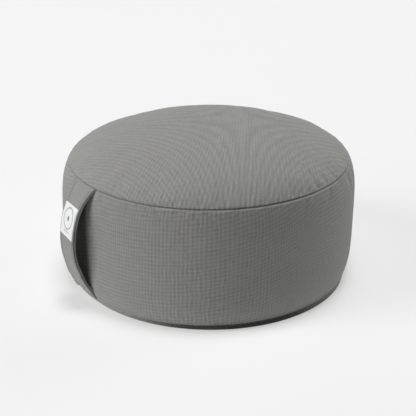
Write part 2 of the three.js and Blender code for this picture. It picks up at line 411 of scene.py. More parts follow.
@dataclass(frozen=True)
class TapeFinish:
    """Smooth, closely woven label tape."""

    name: str
    colour: tuple[float, float, float]
    thread_pitch: float = 0.35 * MM
    weave_depth: float = 0.05 * MM
    row_share: float = 0.7
    soil_width: float = 9 * MM
    contrast: float = 0.06
    roughness: tuple[float, float] = (0.62, 0.72)
    relief: float = 0.8
    sheen: float = 0.05
    ring_middle: tuple[float, float] = (17.7 * MM, 15.0 * MM)
    ring_radius: float = 11.5 * MM
    dot_share: float = 0.3
    line_width: float = 1.3 * MM
    bar_share: float = 0.8
    bar_place: float = 29.5 * MM
    bar_length: float = 8.5 * MM
    ink: float = 0.7

    def build(self) -> bpy.types.Material:
        """Make the material.

        Returns:
            The tape material.
        """
        shader = Shader(self.name)
        u, v = shader.cloth_places()
        per_thread = math.pi / self.thread_pitch
        rows = abs((v * per_thread).sine())
        ends = abs((u * (0.5 * per_thread)).sine())
        weave = rows * self.row_share + ends * (1 - self.row_share)
        soiled = shader.streaks(u, v, self.soil_width, 1.0, 2.0)
        light = (weave * 0.5 + soiled * 0.5).kept()
        dark_colour = [channel * (1 - self.contrast) for channel in self.colour]
        tape = shader.tinted(light, dark_colour, self.colour)
        shader.feed("Base Color", shader.dimmed(tape, self._mark(u, v) * self.ink))
        shader.raise_surface(weave, self.weave_depth, self.relief)
        shader.roughen(weave, self.roughness)
        shader.feed("Sheen Weight", self.sheen)
        return shader.material

    def _mark(self, u: Value, v: Value) -> Value:
        """A plain ring with a dot in it and a bar below, woven in grey.

        Args:
            u: the place across the tape.
            v: the place along it.

        Returns:
            1 in the lines and 0 beside them.
        """
        across, along = u - self.ring_middle[0], v - self.ring_middle[1]
        out = (across * across + along * along) ** 0.5
        ring = (self.line_width - abs(out - self.ring_radius)).faded(self.line_width)
        dot = (self.ring_radius * self.dot_share - out).faded(self.line_width)
        bar_end = (self.bar_length - abs(across)).faded(self.line_width)
        bar = (self.line_width * self.bar_share - abs(v - self.bar_place)).faded(self.line_width)
        return ring.at_least(dot).at_least(bar * bar_end)


@dataclass(frozen=True)
class ThreadFinish:
    """Twisted sewing thread."""

    name: str
    colour: tuple[float, float, float]
    twist_pitch: float = 0.7 * MM
    twist_depth: float = 0.08 * MM
    twist_slope: float = 2.0
    dark_share: float = 0.8
    relief: float = 0.7
    roughness: tuple[float, float] = (0.7, 0.8)

    def build(self) -> bpy.types.Material:
        """Make the material.

        Returns:
            The thread material.
        """
        shader = Shader(self.name)
        u, v = shader.cloth_places()
        twist = abs(((u + v * self.twist_slope) * (math.pi / self.twist_pitch)).sine())
        dark_colour = [channel * self.dark_share for channel in self.colour]
        shader.feed("Base Color", shader.tinted(twist.kept(), dark_colour, self.colour))
        shader.raise_surface(twist, self.twist_depth, self.relief)
        shader.roughen(twist, self.roughness)
        return shader.material


@dataclass(frozen=True)
class FloorFinish:
    """A plain pale studio floor."""

    name: str = "studio_floor"
    colour: tuple[float, float, float] = (0.76, 0.76, 0.76)
    grain: float = 0.004
    mottle_scale: float = 5.0
    roughness: float = 0.9
    specular: float = 0.1
    glow: float = 0.075

    def build(self) -> bpy.types.Material:
        """Make the material.

        Returns:
            The floor material.
        """
        shader = Shader(self.name)
        mottle = shader.node("ShaderNodeTexNoise", {}, {"Scale": self.mottle_scale, "Detail": 2.0})
        dark_colour = [channel - self.grain for channel in self.colour]
        shader.feed("Base Color", shader.tinted(Value(shader, mottle.outputs[0]), dark_colour, self.colour))
        shader.feed("Roughness", self.roughness)
        shader.feed("Specular IOR Level", self.specular)
        shader.feed("Emission Color", (1.0, 1.0, 1.0, 1.0))
        shader.feed("Emission Strength", self.glow)
        return shader.material


def bell(distance: np.ndarray, reach: float) -> np.ndarray:
    """A bell that is 1 at its middle and fades away over its reach."""
    return np.exp(-((distance / reach) ** 2))


def angle_between(angle: np.ndarray, other: float) -> np.ndarray:
    """The shorter way from one angle to another, from -pi to pi."""
    return np.arctan2(np.sin(angle - other), np.cos(angle - other))


def unit(vectors: np.ndarray) -> np.ndarray:
    """Vectors made one long."""
    return vectors / np.maximum(np.linalg.norm(vectors, axis=-1, keepdims=True), 1e-12)


def ways_along(points: np.ndarray) -> np.ndarray:
    """The way along a line of points from the first one to each of them."""
    return np.concatenate([[0.0], np.cumsum(np.linalg.norm(np.diff(points, axis=0), axis=1))])


def spline(points: np.ndarray, samples: np.ndarray) -> np.ndarray:
    """A smooth curve through points, spaced by their distances.

    Args:
        points: the points, one in each row.
        samples: shares of the curve's length, from 0 to 1.

    Returns:
        The curve's points at those shares.
    """
    places = ways_along(points)
    slopes = np.gradient(points, places, axis=0)
    wanted = samples * places[-1]
    piece = np.clip(np.searchsorted(places, wanted, side="right") - 1, 0, len(points) - 2)
    width = np.diff(places)[piece][:, None]
    share = (wanted - places[piece])[:, None] / width
    before, after = points[piece], points[piece + 1]
    rise, fall = slopes[piece] * width, slopes[piece + 1] * width
    square, cube = share**2, share**3
    return (
        (2 * cube - 3 * square + 1) * before
        + (cube - 2 * square + share) * rise
        + (3 * square - 2 * cube) * after
        + (cube - square) * fall
    )


def make_piece(
    name: str,
    vertices: np.ndarray,
    faces: Sequence[Sequence[int]],
    material: bpy.types.Material,
    cut: np.ndarray | None = None,
    ribs: np.ndarray | None = None,
) -> bpy.types.Object:
    """Make a mesh object.

    Args:
        name: the piece's name.
        vertices: its points.
        faces: the points of each face.
        material: its finish.
        cut: the place of each face corner on the cloth as cut, in metres.
        ribs: the same counted in ribs of the cloth, where it has them.

    Returns:
        The object, in the scene.
    """
    mesh = bpy.data.meshes.new(name)
    mesh.from_pydata([tuple(vertex) for vertex in vertices], [], [tuple(face) for face in faces])
    mesh.update()
    for layer_name, places in (("cut", cut), ("ribs", ribs)):
        if places is not None:
            layer = mesh.uv_layers.new(name=layer_name)
            layer.data.foreach_set("uv", np.asarray(places, np.float32).ravel())
    mesh.polygons.foreach_set("use_smooth", [True] * len(mesh.polygons))
    mesh.materials.append(material)
    piece = bpy.data.objects.new(name, mesh)
    bpy.context.scene.collection.objects.link(piece)
    return piece


def dress(piece: bpy.types.Object, slot: str, *nodes: str) -> bpy.types.Object:
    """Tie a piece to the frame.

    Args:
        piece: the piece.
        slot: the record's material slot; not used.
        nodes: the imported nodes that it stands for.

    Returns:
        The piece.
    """
    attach(piece, BODY)
    if nodes:
        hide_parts(*nodes)
    log.info("%s: %d faces", piece.name, len(piece.data.polygons))
    return piece


@dataclass(frozen=True)
class Fold:
    """One soft fold in the cover, beside a seam.

    Attributes:
        side: the part of the cover that it lies in.
        at: where round the seam it starts, in degrees.
        deep: how far in it goes.
        wide: half its width.
        long: how far from the seam it reaches.
        lean: how far it drifts round the seam for each metre away from it.
        start: how far from the seam it is deepest.
    """

    side: Side
    at: float
    deep: float
    wide: float
    long: float
    lean: float
    start: float


def fold_rows(side: Side, start: float, rows: Sequence[tuple[float, ...]]) -> tuple[Fold, ...]:
    """Folds of one part of the cover.

    Args:
        side: the part.
        start: how far from the seam they are deepest, in millimetres.
        rows: for each fold, where it starts in degrees, how deep, half as wide and long it is in millimetres,
            and how it leans.

    Returns:
        The folds.
    """
    return tuple(
        Fold(side, at, deep * MM, wide * MM, long * MM, lean, start * MM)
        for at, deep, wide, long, lean in rows
    )


TOP_FOLDS = (
    (14, 1.8, 3.6, 26, 0.30), (9, 1.3, 3.0, 17, 0.32), (4.5, 1.2, 3.0, 15, 0.34), (0.4, 1.6, 3.0, 18, 0.36),
    (-4, 1.4, 3.2, 20, 0.40), (-8.5, 0.9, 3.0, 15, 0.6), (-13, 1.0, 3.4, 24, 0.9), (-19, 0.7, 3.2, 12, 0.4),
    (-27, 0.8, 3.2, 10, 0.2), (20, 1.2, 3.4, 17, 0.30), (27, 1.3, 3.6, 18, 0.25), (35, 0.9, 3.6, 14, 0.20),
    (44, 0.9, 3.8, 16, 0.20), (178, 1.1, 3.8, 16, 0.1), (187, 1.3, 3.8, 20, 0.0), (196, 1.4, 4.0, 24, -0.1),
    (205, 1.3, 3.8, 20, 0.1), (214, 1.0, 3.6, 15, 0.0), (225, 0.8, 3.6, 12, 0.0), (72, 1.0, 3.8, 17, -0.2),
    (101, 1.1, 3.8, 19, 0.2), (128, 1.1, 3.8, 18, -0.2), (152, 1.0, 3.6, 16, 0.2),
)
HIGH_FOLDS = (
    (-78, 1.0, 4.4, 11, 0.6), (-66, 1.1, 4.8, 12, 1.2), (-55, 1.1, 4.4, 11, 1.4), (-46, 1.0, 4.0, 10, 1.2),
    (-35, 1.1, 4.2, 11, 1.0), (-24, 1.0, 4.0, 10, 0.8), (-12, 0.9, 4.0, 10, 0.4), (7, 1.2, 4.2, 14, -0.6),
    (21, 1.3, 4.4, 16, -0.7),
)
LONG_HIGH_FOLDS = (
    (37, 1.4, 5.0, 30, 0.25), (45, 1.2, 4.6, 24, 0.20), (96, 1.0, 4.6, 16, 0.2), (137, 0.9, 4.4, 14, -0.3),
    (188, 1.0, 4.6, 16, 0.3), (226, 0.9, 4.2, 14, -0.2),
)
LOW_FOLDS = (
    (-61, 1.4, 4.4, 11, 0.6), (-55, 1.1, 3.8, 9, 0.4), (-26, 0.8, 4.0, 8, 0.0), (22, 1.2, 4.8, 13, -0.5),
    (90, 0.9, 4.6, 10, 0.2), (150, 0.9, 4.6, 10, -0.2), (215, 0.9, 4.6, 10, 0.2),
)


@dataclass
class Grid:
    """The cover's smooth form on a grid of rows and columns.

    Attributes:
        points: the place of each point.
        normals: the way out of the cover at each point.
        angles: the angle of each column.
        sides: the part of the cover that each row lies in.
        from_seam: each row's way from the nearest seam.
        cut_v: each row's place on its cloth as cut: its height, or its way from the panel's middle.
    """

    points: np.ndarray
    normals: np.ndarray
    angles: np.ndarray
    sides: list[Side]
    from_seam: np.ndarray
    cut_v: np.ndarray


@dataclass
class CushionCover:
    """The filled cover: top, side band and bottom, sewn into one closed form."""

    seam_radius: float = 158 * MM
    bottom_seam_height: float = 5.2 * MM
    top_seam_height: float = 137.2 * MM
    band_bulge: float = 8.1 * MM
    band_fullness: float = 4.8
    crown_rise: float = 30.4 * MM
    crown_round: float = 3.0
    crown_shoulder: float = 0.74
    base_radius: float = 156.5 * MM
    slump: tuple[float, float] = (1.4 * MM, 2.2 * MM)
    foot_shift: tuple[float, float] = (3.8 * MM, 2.8 * MM)
    foot_squeeze: float = 0.017
    top_tilt: tuple[float, float] = (0.0018, 0.0028)
    groove_depth: float = 1.5 * MM
    groove_width: float = 0.9 * MM
    top_lip_height: float = 0.3 * MM
    bottom_lip_height: float = 0.9 * MM
    lip_from_seam: float = 2.0 * MM
    lip_width: float = 1.3 * MM
    foot_tuck: float = 1.6
    strap_angle: float = -math.pi / 2
    strap_width: float = 40 * MM
    strap_offset: float = 1.1 * MM
    strap_dent: float = 3.0 * MM
    strap_dent_reach: float = 13 * MM
    strap_dent_share: float = 0.56
    strap_dent_edge: int = 8
    fold_rim: float = 0.7
    columns: int = 480
    band_rows: int = 74
    crown_rows: int = 66
    crown_end: float = 0.985
    crown_samples: int = 4000
    base_rings: int = 7
    base_hole: float = 0.12
    foot_rows: int = 7
    floor_clearance: float = 0.2 * MM
    seam_rows: int = 5
    seam_row_gap: float = 0.75 * MM
    sim_columns: int = 240
    sim_band_rows: int = 38
    sim_crown_rows: int = 44
    sim_frames: int = 20
    sim_pressure: float = 4.0
    sim_growth: float = 0.025
    sim_cap: float = 3.0 * MM
    sim_held: tuple[float, float] = (70 * MM, 100 * MM)
    sim_sewn: float = 0.5 * MM
    top_share: float = 0.6
    band_share: float = 0.35
    far_share: float = 0.12
    top_reach: float = 34 * MM
    band_reach: float = 18 * MM
    fill: float = 0.85
    panel_turn: float = RIGHT_TURN
    panel_ribs: tuple[float, float] = (308.0, 34.0)
    panel_cross_ribs: tuple[float, float] = (-40.0, 33.0)
    panel_fan: tuple[float, float] = (720.0, -960.0)
    band_threads: float = 1.148 / MM
    band_beat: float = 0.93 / MM
    band_rows_pitch: float = 4.4 * MM
    band_rise: int = 10
    band_rise_bend: float = 2.2
    front: float = math.radians(-33)
    folds: tuple[Fold, ...] = (
        *fold_rows(Side.TOP, 2.5, TOP_FOLDS),
        *fold_rows(Side.BAND_HIGH, 2.0, HIGH_FOLDS),
        *fold_rows(Side.BAND_HIGH, 2.5, LONG_HIGH_FOLDS),
        *fold_rows(Side.BAND_LOW, 2.0, LOW_FOLDS),
    )

    def build(self, canvas: bpy.types.Material) -> bpy.types.Object:
        """Make the cover.

        Args:
            canvas: its finish.

        Returns:
            The cover's object.
        """
        coarse = self._grid(self.sim_columns, self.sim_band_rows, self.sim_crown_rows, 0)
        puckers = self._simulate(coarse)
        fine = self._grid(self.columns, self.band_rows, self.crown_rows, self.seam_rows)
        moves = self._spread(puckers, coarse, fine) + self._sewn_details(fine)
        points = fine.points + fine.normals * moves[..., None]
        cleared = np.maximum(points[..., 2], self.floor_clearance)
        points[..., 2] = np.where(fine.points[..., 2] <= 0, 0.0, cleared)
        return self._close(points, fine, canvas)

    def _profile(
        self, band_rows: int, crown_rows: int, seam_rows: int
    ) -> list[tuple[float, float, Side, float, float]]:
        """The cover's smooth profile, from the middle of the base to the last ring of the top.

        Args:
            band_rows: rows in the band.
            crown_rows: rows in the top.
            seam_rows: extra rows on each side of each seam.

        Returns:
            The radius, height, side, way from the seam and place on the cloth of each row.
        """
        rows: list[tuple[float, float, Side, float, float]] = []
        foot = self.seam_radius - self.base_radius
        for ring in np.linspace(self.base_hole, 1.0, self.base_rings):
            radius = self.base_radius * ring
            rows.append((radius, 0.0, Side.BASE, self.base_radius - radius + foot, radius))
        for share in np.linspace(0, 1, self.foot_rows + 1)[1:]:
            radius = self.base_radius + foot * share**self.foot_tuck
            height = self.bottom_seam_height * share
            rows.append((radius, height, Side.BASE, self.bottom_seam_height * (1 - share), radius + height))

        band_height = self.top_seam_height - self.bottom_seam_height
        close = seam_rows * self.seam_row_gap
        middle = np.linspace(close, band_height - close, band_rows)
        near = np.arange(1, seam_rows) * self.seam_row_gap if seam_rows else np.array([])
        ways = np.concatenate([near, middle, band_height - near[::-1]])
        for way in ways if seam_rows else middle[1:-1]:
            share = way / band_height
            radius = self.seam_radius + self.band_bulge * (1 - abs(2 * share - 1) ** self.band_fullness)
            side = Side.BAND_LOW if share < 0.5 else Side.BAND_HIGH
            from_seam = min(way, band_height - way)
            rows.append((radius, self.bottom_seam_height + way, side, from_seam, way))
        rows.append((self.seam_radius, self.top_seam_height, Side.TOP, 0.0, band_height))

        shares = np.linspace(0, 1, self.crown_samples)
        rise = self.crown_rise * (1 - shares**self.crown_round) ** self.crown_shoulder
        lengths = ways_along(np.stack([shares * self.seam_radius, rise], axis=1))
        total = lengths[-1]
        middle = np.linspace(close, total * self.crown_end, crown_rows)
        for way in np.concatenate([near, middle if seam_rows else middle[1:]]):
            share = float(np.interp(total - way, lengths, shares))
            height = self.top_seam_height + float(np.interp(share, shares, rise))
            rows.append((share * self.seam_radius, height, Side.TOP, float(way), total - float(way)))
        return rows

    def _settle(self, points: np.ndarray) -> np.ndarray:
        """Lean and tilt the form a little, and slide and narrow its foot, as a filled cushion settles.

        Args:
            points: the form's points.

        Returns:
            The settled points.
        """
        share = points[..., 2] / self.top_seam_height
        foot = np.clip(1 - points[..., 2] / self.bottom_seam_height, 0, 1)
        tilt = (self.top_tilt[0] * points[..., 0] + self.top_tilt[1] * points[..., 1]) * share
        way_x, way_y = math.cos(RIGHT_TURN), math.sin(RIGHT_TURN)
        drawn_in = self.foot_squeeze * foot * (points[..., 0] * way_x + points[..., 1] * way_y)
        moved = points.copy()
        moved[..., 0] += self.slump[0] * share + self.foot_shift[0] * foot - drawn_in * way_x
        moved[..., 1] += self.slump[1] * share + self.foot_shift[1] * foot - drawn_in * way_y
        moved[..., 2] += tilt
        return moved

    def _grid(self, columns: int, band_rows: int, crown_rows: int, seam_rows: int) -> Grid:
        """The smooth form on a grid.

        Args:
            columns: points round the cushion.
            band_rows: rows in the band.
            crown_rows: rows in the top.
            seam_rows: extra rows on each side of each seam.

        Returns:
            The grid.
        """
        rows = self._profile(band_rows, crown_rows, seam_rows)
        profile = np.array([(row[0], row[1]) for row in rows])
        along = np.gradient(profile, axis=0)
        outward = unit(np.stack([along[:, 1], -along[:, 0]], axis=1))
        outward[profile[:, 1] <= 0] = (0.0, -1.0)
        angles = np.arange(columns) / columns * FULL_TURN
        round_x, round_y = np.cos(angles), np.sin(angles)

        def turned(row: np.ndarray) -> np.ndarray:
            """Radius and height of each row, turned round the axis."""
            radius, height = row[:, :1], np.repeat(row[:, 1:], columns, 1)
            return np.stack([radius * round_x, radius * round_y, height], axis=-1)

        return Grid(
            points=self._settle(turned(profile)),
            normals=turned(outward),
            angles=angles,
            sides=[row[2] for row in rows],
            from_seam=np.array([row[3] for row in rows]),
            cut_v=np.array([row[4] for row in rows]),
        )

    def _simulate(self, grid: Grid) -> np.ndarray:
        """Fill the cover by a cloth simulation, with more cloth than its sewn seams have room for.

        Args:
            grid: the smooth form.

        Returns:
            How far out of the smooth form each point ends.
        """
        rows, columns = grid.points.shape[:2]
        starts = range(0, (rows - 1) * columns, columns)
        sides = [(column, (column + 1) % columns) for column in range(columns)]
        faces = [
            (row + side, row + after, row + columns + after, row + columns + side)
            for row in starts
            for side, after in sides
        ]
        plain = bpy.data.materials.new("filling_form")
        form = make_piece("filling_form", grid.points.reshape(-1, 3), faces, plain)
        held = form.vertex_groups.new(name="held")
        for row, (side, way) in enumerate(zip(grid.sides, grid.from_seam)):
            inner = np.interp(way, self.sim_held, (0, 1)) if side is Side.TOP else 0.0
            weight = 1.0 if side is Side.BASE or way < self.sim_sewn else float(inner)
            if weight > 0:
                held.add(list(range(row * columns, (row + 1) * columns)), weight, "REPLACE")
        cloth = form.modifiers.new("filling", "CLOTH")
        settings = {
            "vertex_group_mass": "held",
            "quality": 6,
            "mass": 0.3,
            "tension_stiffness": 25,
            "compression_stiffness": 25,
            "shear_stiffness": 8,
            "bending_stiffness": 0.6,
            "use_pressure": True,
            "uniform_pressure_force": self.sim_pressure,
            "shrink_min": -self.sim_growth,
            "shrink_max": -self.sim_growth,
        }
        for name, setting in settings.items():
            setattr(cloth.settings, name, setting)
        cloth.settings.effector_weights.gravity = 0
        cloth.collision_settings.use_collision = False
        cloth.point_cache.frame_start = 1
        cloth.point_cache.frame_end = self.sim_frames
        for step in range(1, self.sim_frames + 1):
            bpy.context.scene.frame_set(step)
        filled = form.evaluated_get(bpy.context.evaluated_depsgraph_get()).to_mesh()
        places = np.zeros(len(filled.vertices) * 3)
        filled.vertices.foreach_get("co", places)
        bpy.data.objects.remove(form)
        bpy.context.scene.frame_set(1)
        moved = places.reshape(rows, columns, 3) - grid.points
        out = (moved * grid.normals).sum(axis=-1)
        out -= out.mean(axis=1, keepdims=True)
        log.info("filling moves the cover by up to %.1f mm", np.abs(out).max() / MM)
        return self.sim_cap * np.tanh(out / self.sim_cap)

    def _spread(self, moves: np.ndarray, coarse: Grid, fine: Grid) -> np.ndarray:
        """Carry moves from the coarse grid to the fine one.

        Args:
            moves: how far out each point of the coarse grid goes.
            coarse: the coarse grid.
            fine: the fine grid.

        Returns:
            How far out each point of the fine grid goes.
        """
        coarse_places = self._row_places(coarse)
        fine_places = self._row_places(fine)
        by_row = np.stack([np.interp(fine_places, coarse_places, column) for column in moves.T], axis=1)
        spectrum = np.fft.rfft(by_row, axis=1)
        wide = np.zeros((len(fine_places), fine.angles.size // 2 + 1), complex)
        wide[:, : spectrum.shape[1]] = spectrum
        spread = np.fft.irfft(wide, fine.angles.size, axis=1) * (fine.angles.size / moves.shape[1])
        reach = np.array([self.top_reach if side is Side.TOP else self.band_reach for side in fine.sides])
        most = np.array([self.top_share if side is Side.TOP else self.band_share for side in fine.sides])
        kept = most * (self.far_share + (1 - self.far_share) * bell(fine.from_seam, reach))
        return spread * kept[:, None]

    @staticmethod
    def _row_places(grid: Grid) -> np.ndarray:
        """Each row's way along the profile from the rim of the base, in metres."""
        return ways_along(grid.points[:, 0])

    def _sewn_details(self, grid: Grid) -> np.ndarray:
        """The seams' grooves and lips, the strap's dents and the main folds.

        Args:
            grid: the fine grid.

        Returns:
            How far out each point goes.
        """
        rows, columns = grid.points.shape[:2]
        moves = np.zeros((rows, columns))
        along_strap = angle_between(grid.angles, self.strap_angle) * self.seam_radius - self.strap_offset
        off_strap = along_strap / (self.strap_dent_share * self.strap_width)
        under_strap = np.exp(-(off_strap**self.strap_dent_edge))
        for row in range(rows):
            side, way = grid.sides[row], grid.from_seam[row]
            band = side in (Side.BAND_LOW, Side.BAND_HIGH)
            moves[row] -= self.groove_depth * bell(way, self.groove_width)
            if band:
                lip = self.bottom_lip_height if side is Side.BAND_LOW else self.top_lip_height
                moves[row] += lip * bell(way - self.lip_from_seam, self.lip_width)
                moves[row] -= self.strap_dent * under_strap * bell(way, self.strap_dent_reach)
            for fold in self.folds:
                if fold.side is side:
                    moves[row] += self._fold_move(fold, grid.angles, way)
        return moves

    def _fold_move(self, fold: Fold, angles: np.ndarray, way: float) -> np.ndarray:
        """How far out one fold moves a row.

        Args:
            fold: the fold.
            angles: the row's angles.
            way: the row's way from the seam.

        Returns:
            The move at each column.
        """
        off = angle_between(angles, math.radians(fold.at)) * self.seam_radius
        across = (off - fold.lean * way) / fold.wide
        trough = (1 - self.fold_rim * across**2) * np.exp(-(across**2))
        opening = 1 - math.exp(-way / fold.start)
        return -fold.deep * trough * opening * bell(np.array(way), fold.long)

    def _close(self, points: np.ndarray, grid: Grid, canvas: bpy.types.Material) -> bpy.types.Object:
        """Close the grid at both middles and cut its cloth.

        Args:
            points: the final points.
            grid: the fine grid.
            canvas: the cover's finish.

        Returns:
            The cover's object.
        """
        rows, columns = points.shape[:2]
        vertices = [*points.reshape(-1, 3), points[0].mean(axis=0), points[-1].mean(axis=0)]
        base_middle, top_middle = rows * columns, rows * columns + 1
        base_rows = sum(side is Side.BASE for side in grid.sides)
        first_top = grid.sides.index(Side.TOP)
        back = round((self.front / math.pi + 1) / 2 * columns)
        faces: list[tuple[int, ...]] = []
        places: list[tuple[float, float, bool]] = []
        for row in range(rows - 1):
            band = base_rows - 1 <= row < first_top
            starts = 0.0 if band and row < base_rows else grid.cut_v[row]
            ends = grid.cut_v[row + 1]
            if row == first_top:
                starts = ends + self.seam_row_gap
            for step in range(columns):
                column, after = (back + step) % columns, (back + step + 1) % columns
                here, there = row * columns, (row + 1) * columns
                faces.append((here + column, here + after, there + after, there + column))
                corners = ((step, starts), (step + 1, starts), (step + 1, ends), (step, ends))
                places += [(*corner, band) for corner in corners]
        last = (rows - 1) * columns
        inner, outer = grid.cut_v[0], grid.cut_v[-1]
        for step in range(columns):
            column, after = (back + step) % columns, (back + step + 1) % columns
            faces += [(after, column, base_middle), (last + column, last + after, top_middle)]
            places += [(step + 1, inner, False), (step, inner, False), (step, 0.0, False)]
            places += [(step, outer, False), (step + 1, outer, False), (step, 0.0, False)]
        cut, ribs = self._lay_out(np.array(places, float), columns)
        cover = make_piece("cushion_cover", np.array(vertices), faces, canvas, cut, ribs)
        dress(cover, "cover", "cushion")
        return cover

    def _lay_out(self, places: np.ndarray, columns: int) -> tuple[np.ndarray, np.ndarray]:
        """Lay the face corners on the cloth, with the band's join at the back.

        The ribs of the band are the beat of its threads, so they crowd together away from the front, the
        sides and the back, and its rows rise a little to the right.

        Args:
            places: each corner's step round from the back, its way up the band or out from a panel's middle,
                and whether it is band.
            columns: the number of columns.

        Returns:
            The places in metres, and the same counted in ribs.
        """
        step, way, band = places.T
        turned = step / columns * FULL_TURN - math.pi
        angle = turned + self.front - self.panel_turn
        round_u, round_v = way * np.cos(angle), way * np.sin(angle)
        on_band = band > 0.5
        cut = np.stack(
            [np.where(on_band, turned * self.seam_radius, round_u), np.where(on_band, way, round_v)], axis=1
        )
        quarter = np.round(turned / (math.pi / 2))
        rest = turned - quarter * math.pi / 2
        eighth = math.pi / 4
        whole = 2 * self.seam_radius * (self.band_threads * eighth - self.band_beat * math.sin(eighth))
        beat = self.seam_radius * (self.band_threads * rest - self.band_beat * np.sin(rest))
        rise = self.band_rise * (quarter + ((rest + eighth) / (2 * eighth)) ** self.band_rise_bend)
        on_ribs = (quarter * whole + beat, rise - way / self.band_rows_pitch)
        ribs = np.empty_like(cut)
        for way_round in (0, 1):
            fanned = round_u * self.panel_ribs[way_round] + round_v * self.panel_cross_ribs[way_round]
            fanned += round_u * round_v * self.panel_fan[way_round]
            ribs[:, way_round] = np.where(on_band, on_ribs[way_round], fanned)
        return cut, ribs


@dataclass
class StrapRoute:
    """The way that the strap's outer face takes from seam to seam.

    Attributes:
        width: the strap's width.
        samples: how many places a height is looked up in.
        centre: the axis that the outward sizes are measured from.
        stations: each height with how far out the +X edge and the -X edge stand there.
    """

    width: float = 40 * MM
    samples: int = 2000
    centre: tuple[float, float] = (1.1 * MM, 1.7 * MM)
    stations: tuple[tuple[float, float, float], ...] = (
        (137.4, 154.6, 154.2),
        (136.2, 157.4, 156.4),
        (130.5, 164.4, 161.3),
        (122.0, 171.7, 166.2),
        (112.0, 177.3, 171.3),
        (100.0, 181.3, 176.2),
        (86.0, 184.2, 178.8),
        (72.0, 184.7, 180.1),
        (58.0, 182.8, 179.2),
        (44.0, 178.3, 176.1),
        (30.0, 172.5, 172.1),
        (17.0, 164.7, 165.0),
        (7.5, 158.6, 158.4),
        (4.6, 155.8, 155.6),
    )

    def frames(self, shares: np.ndarray) -> tuple[np.ndarray, np.ndarray, np.ndarray]:
        """The strap's outer face at shares of its length.

        Args:
            shares: shares from the top end, 0, to the bottom end, 1.

        Returns:
            The middle, the direction across and the direction out at each share.
        """
        table = np.array(self.stations) * MM
        edges = []
        for side, column in ((1, 1), (-1, 2)):
            x = np.full(len(table), self.centre[0] + side * self.width / 2)
            edge = np.stack([x, self.centre[1] - table[:, column], table[:, 0]], axis=1)
            edges.append(spline(edge, shares))
        right, left = edges
        middle = (right + left) / 2
        along = unit(np.gradient(middle, axis=0))
        across = unit(right - left)
        return middle, across, unit(np.cross(along, across))

    def length(self) -> float:
        """How long the strap is from seam to seam."""
        return float(ways_along(self.frames(np.linspace(0, 1, self.samples // 5))[0])[-1])

    def share_at(self, height: float) -> float:
        """The share of the strap's length at a height.

        Args:
            height: a height above the floor.

        Returns:
            The share from the top end.
        """
        shares = np.linspace(0, 1, self.samples)
        heights = self.frames(shares)[0][:, 2]
        return float(np.interp(-height, -heights, shares))


def ribbon(
    name: str,
    route: StrapRoute,
    shares: np.ndarray,
    section: Callable[[int], np.ndarray],
    material: bpy.types.Material,
) -> bpy.types.Object:
    """Make a closed ribbon along the strap's route.

    Args:
        name: the piece's name.
        route: the route.
        shares: the shares of the route at which it has a section.
        section: gives the section's points at a step: across, out, and place on the cloth as cut.
        material: its finish.

    Returns:
        The ribbon's object.
    """
    middle, across, out = route.frames(shares)
    lengths = ways_along(middle)
    sections = [section(step) for step in range(len(shares))]
    size = len(sections[0])
    vertices = [
        middle[step] + across[step] * point[0] + out[step] * point[1]
        for step in range(len(shares))
        for point in sections[step]
    ]
    faces: list[tuple[int, ...]] = []
    cut: list[tuple[float, float]] = []
    for step in range(len(shares) - 1):
        for i in range(size):
            after = (i + 1) % size
            here, there = step * size, (step + 1) * size
            faces.append((here + i, there + i, there + after, here + after))
            start, end = sections[step][i][2], sections[step][after][2]
            near, far = lengths[step], lengths[step + 1]
            cut += [(start, near), (start, far), (end, far), (end, near)]
    last = (len(shares) - 1) * size
    faces.append(tuple(range(size)))
    faces.append(tuple(last + i for i in reversed(range(size))))
    cut += [(sections[0][i][0], sections[0][i][1]) for i in range(size)]
    cut += [(sections[-1][i][0], sections[-1][i][1]) for i in reversed(range(size))]
    return make_piece(name, np.array(vertices), faces, material, np.array(cut))


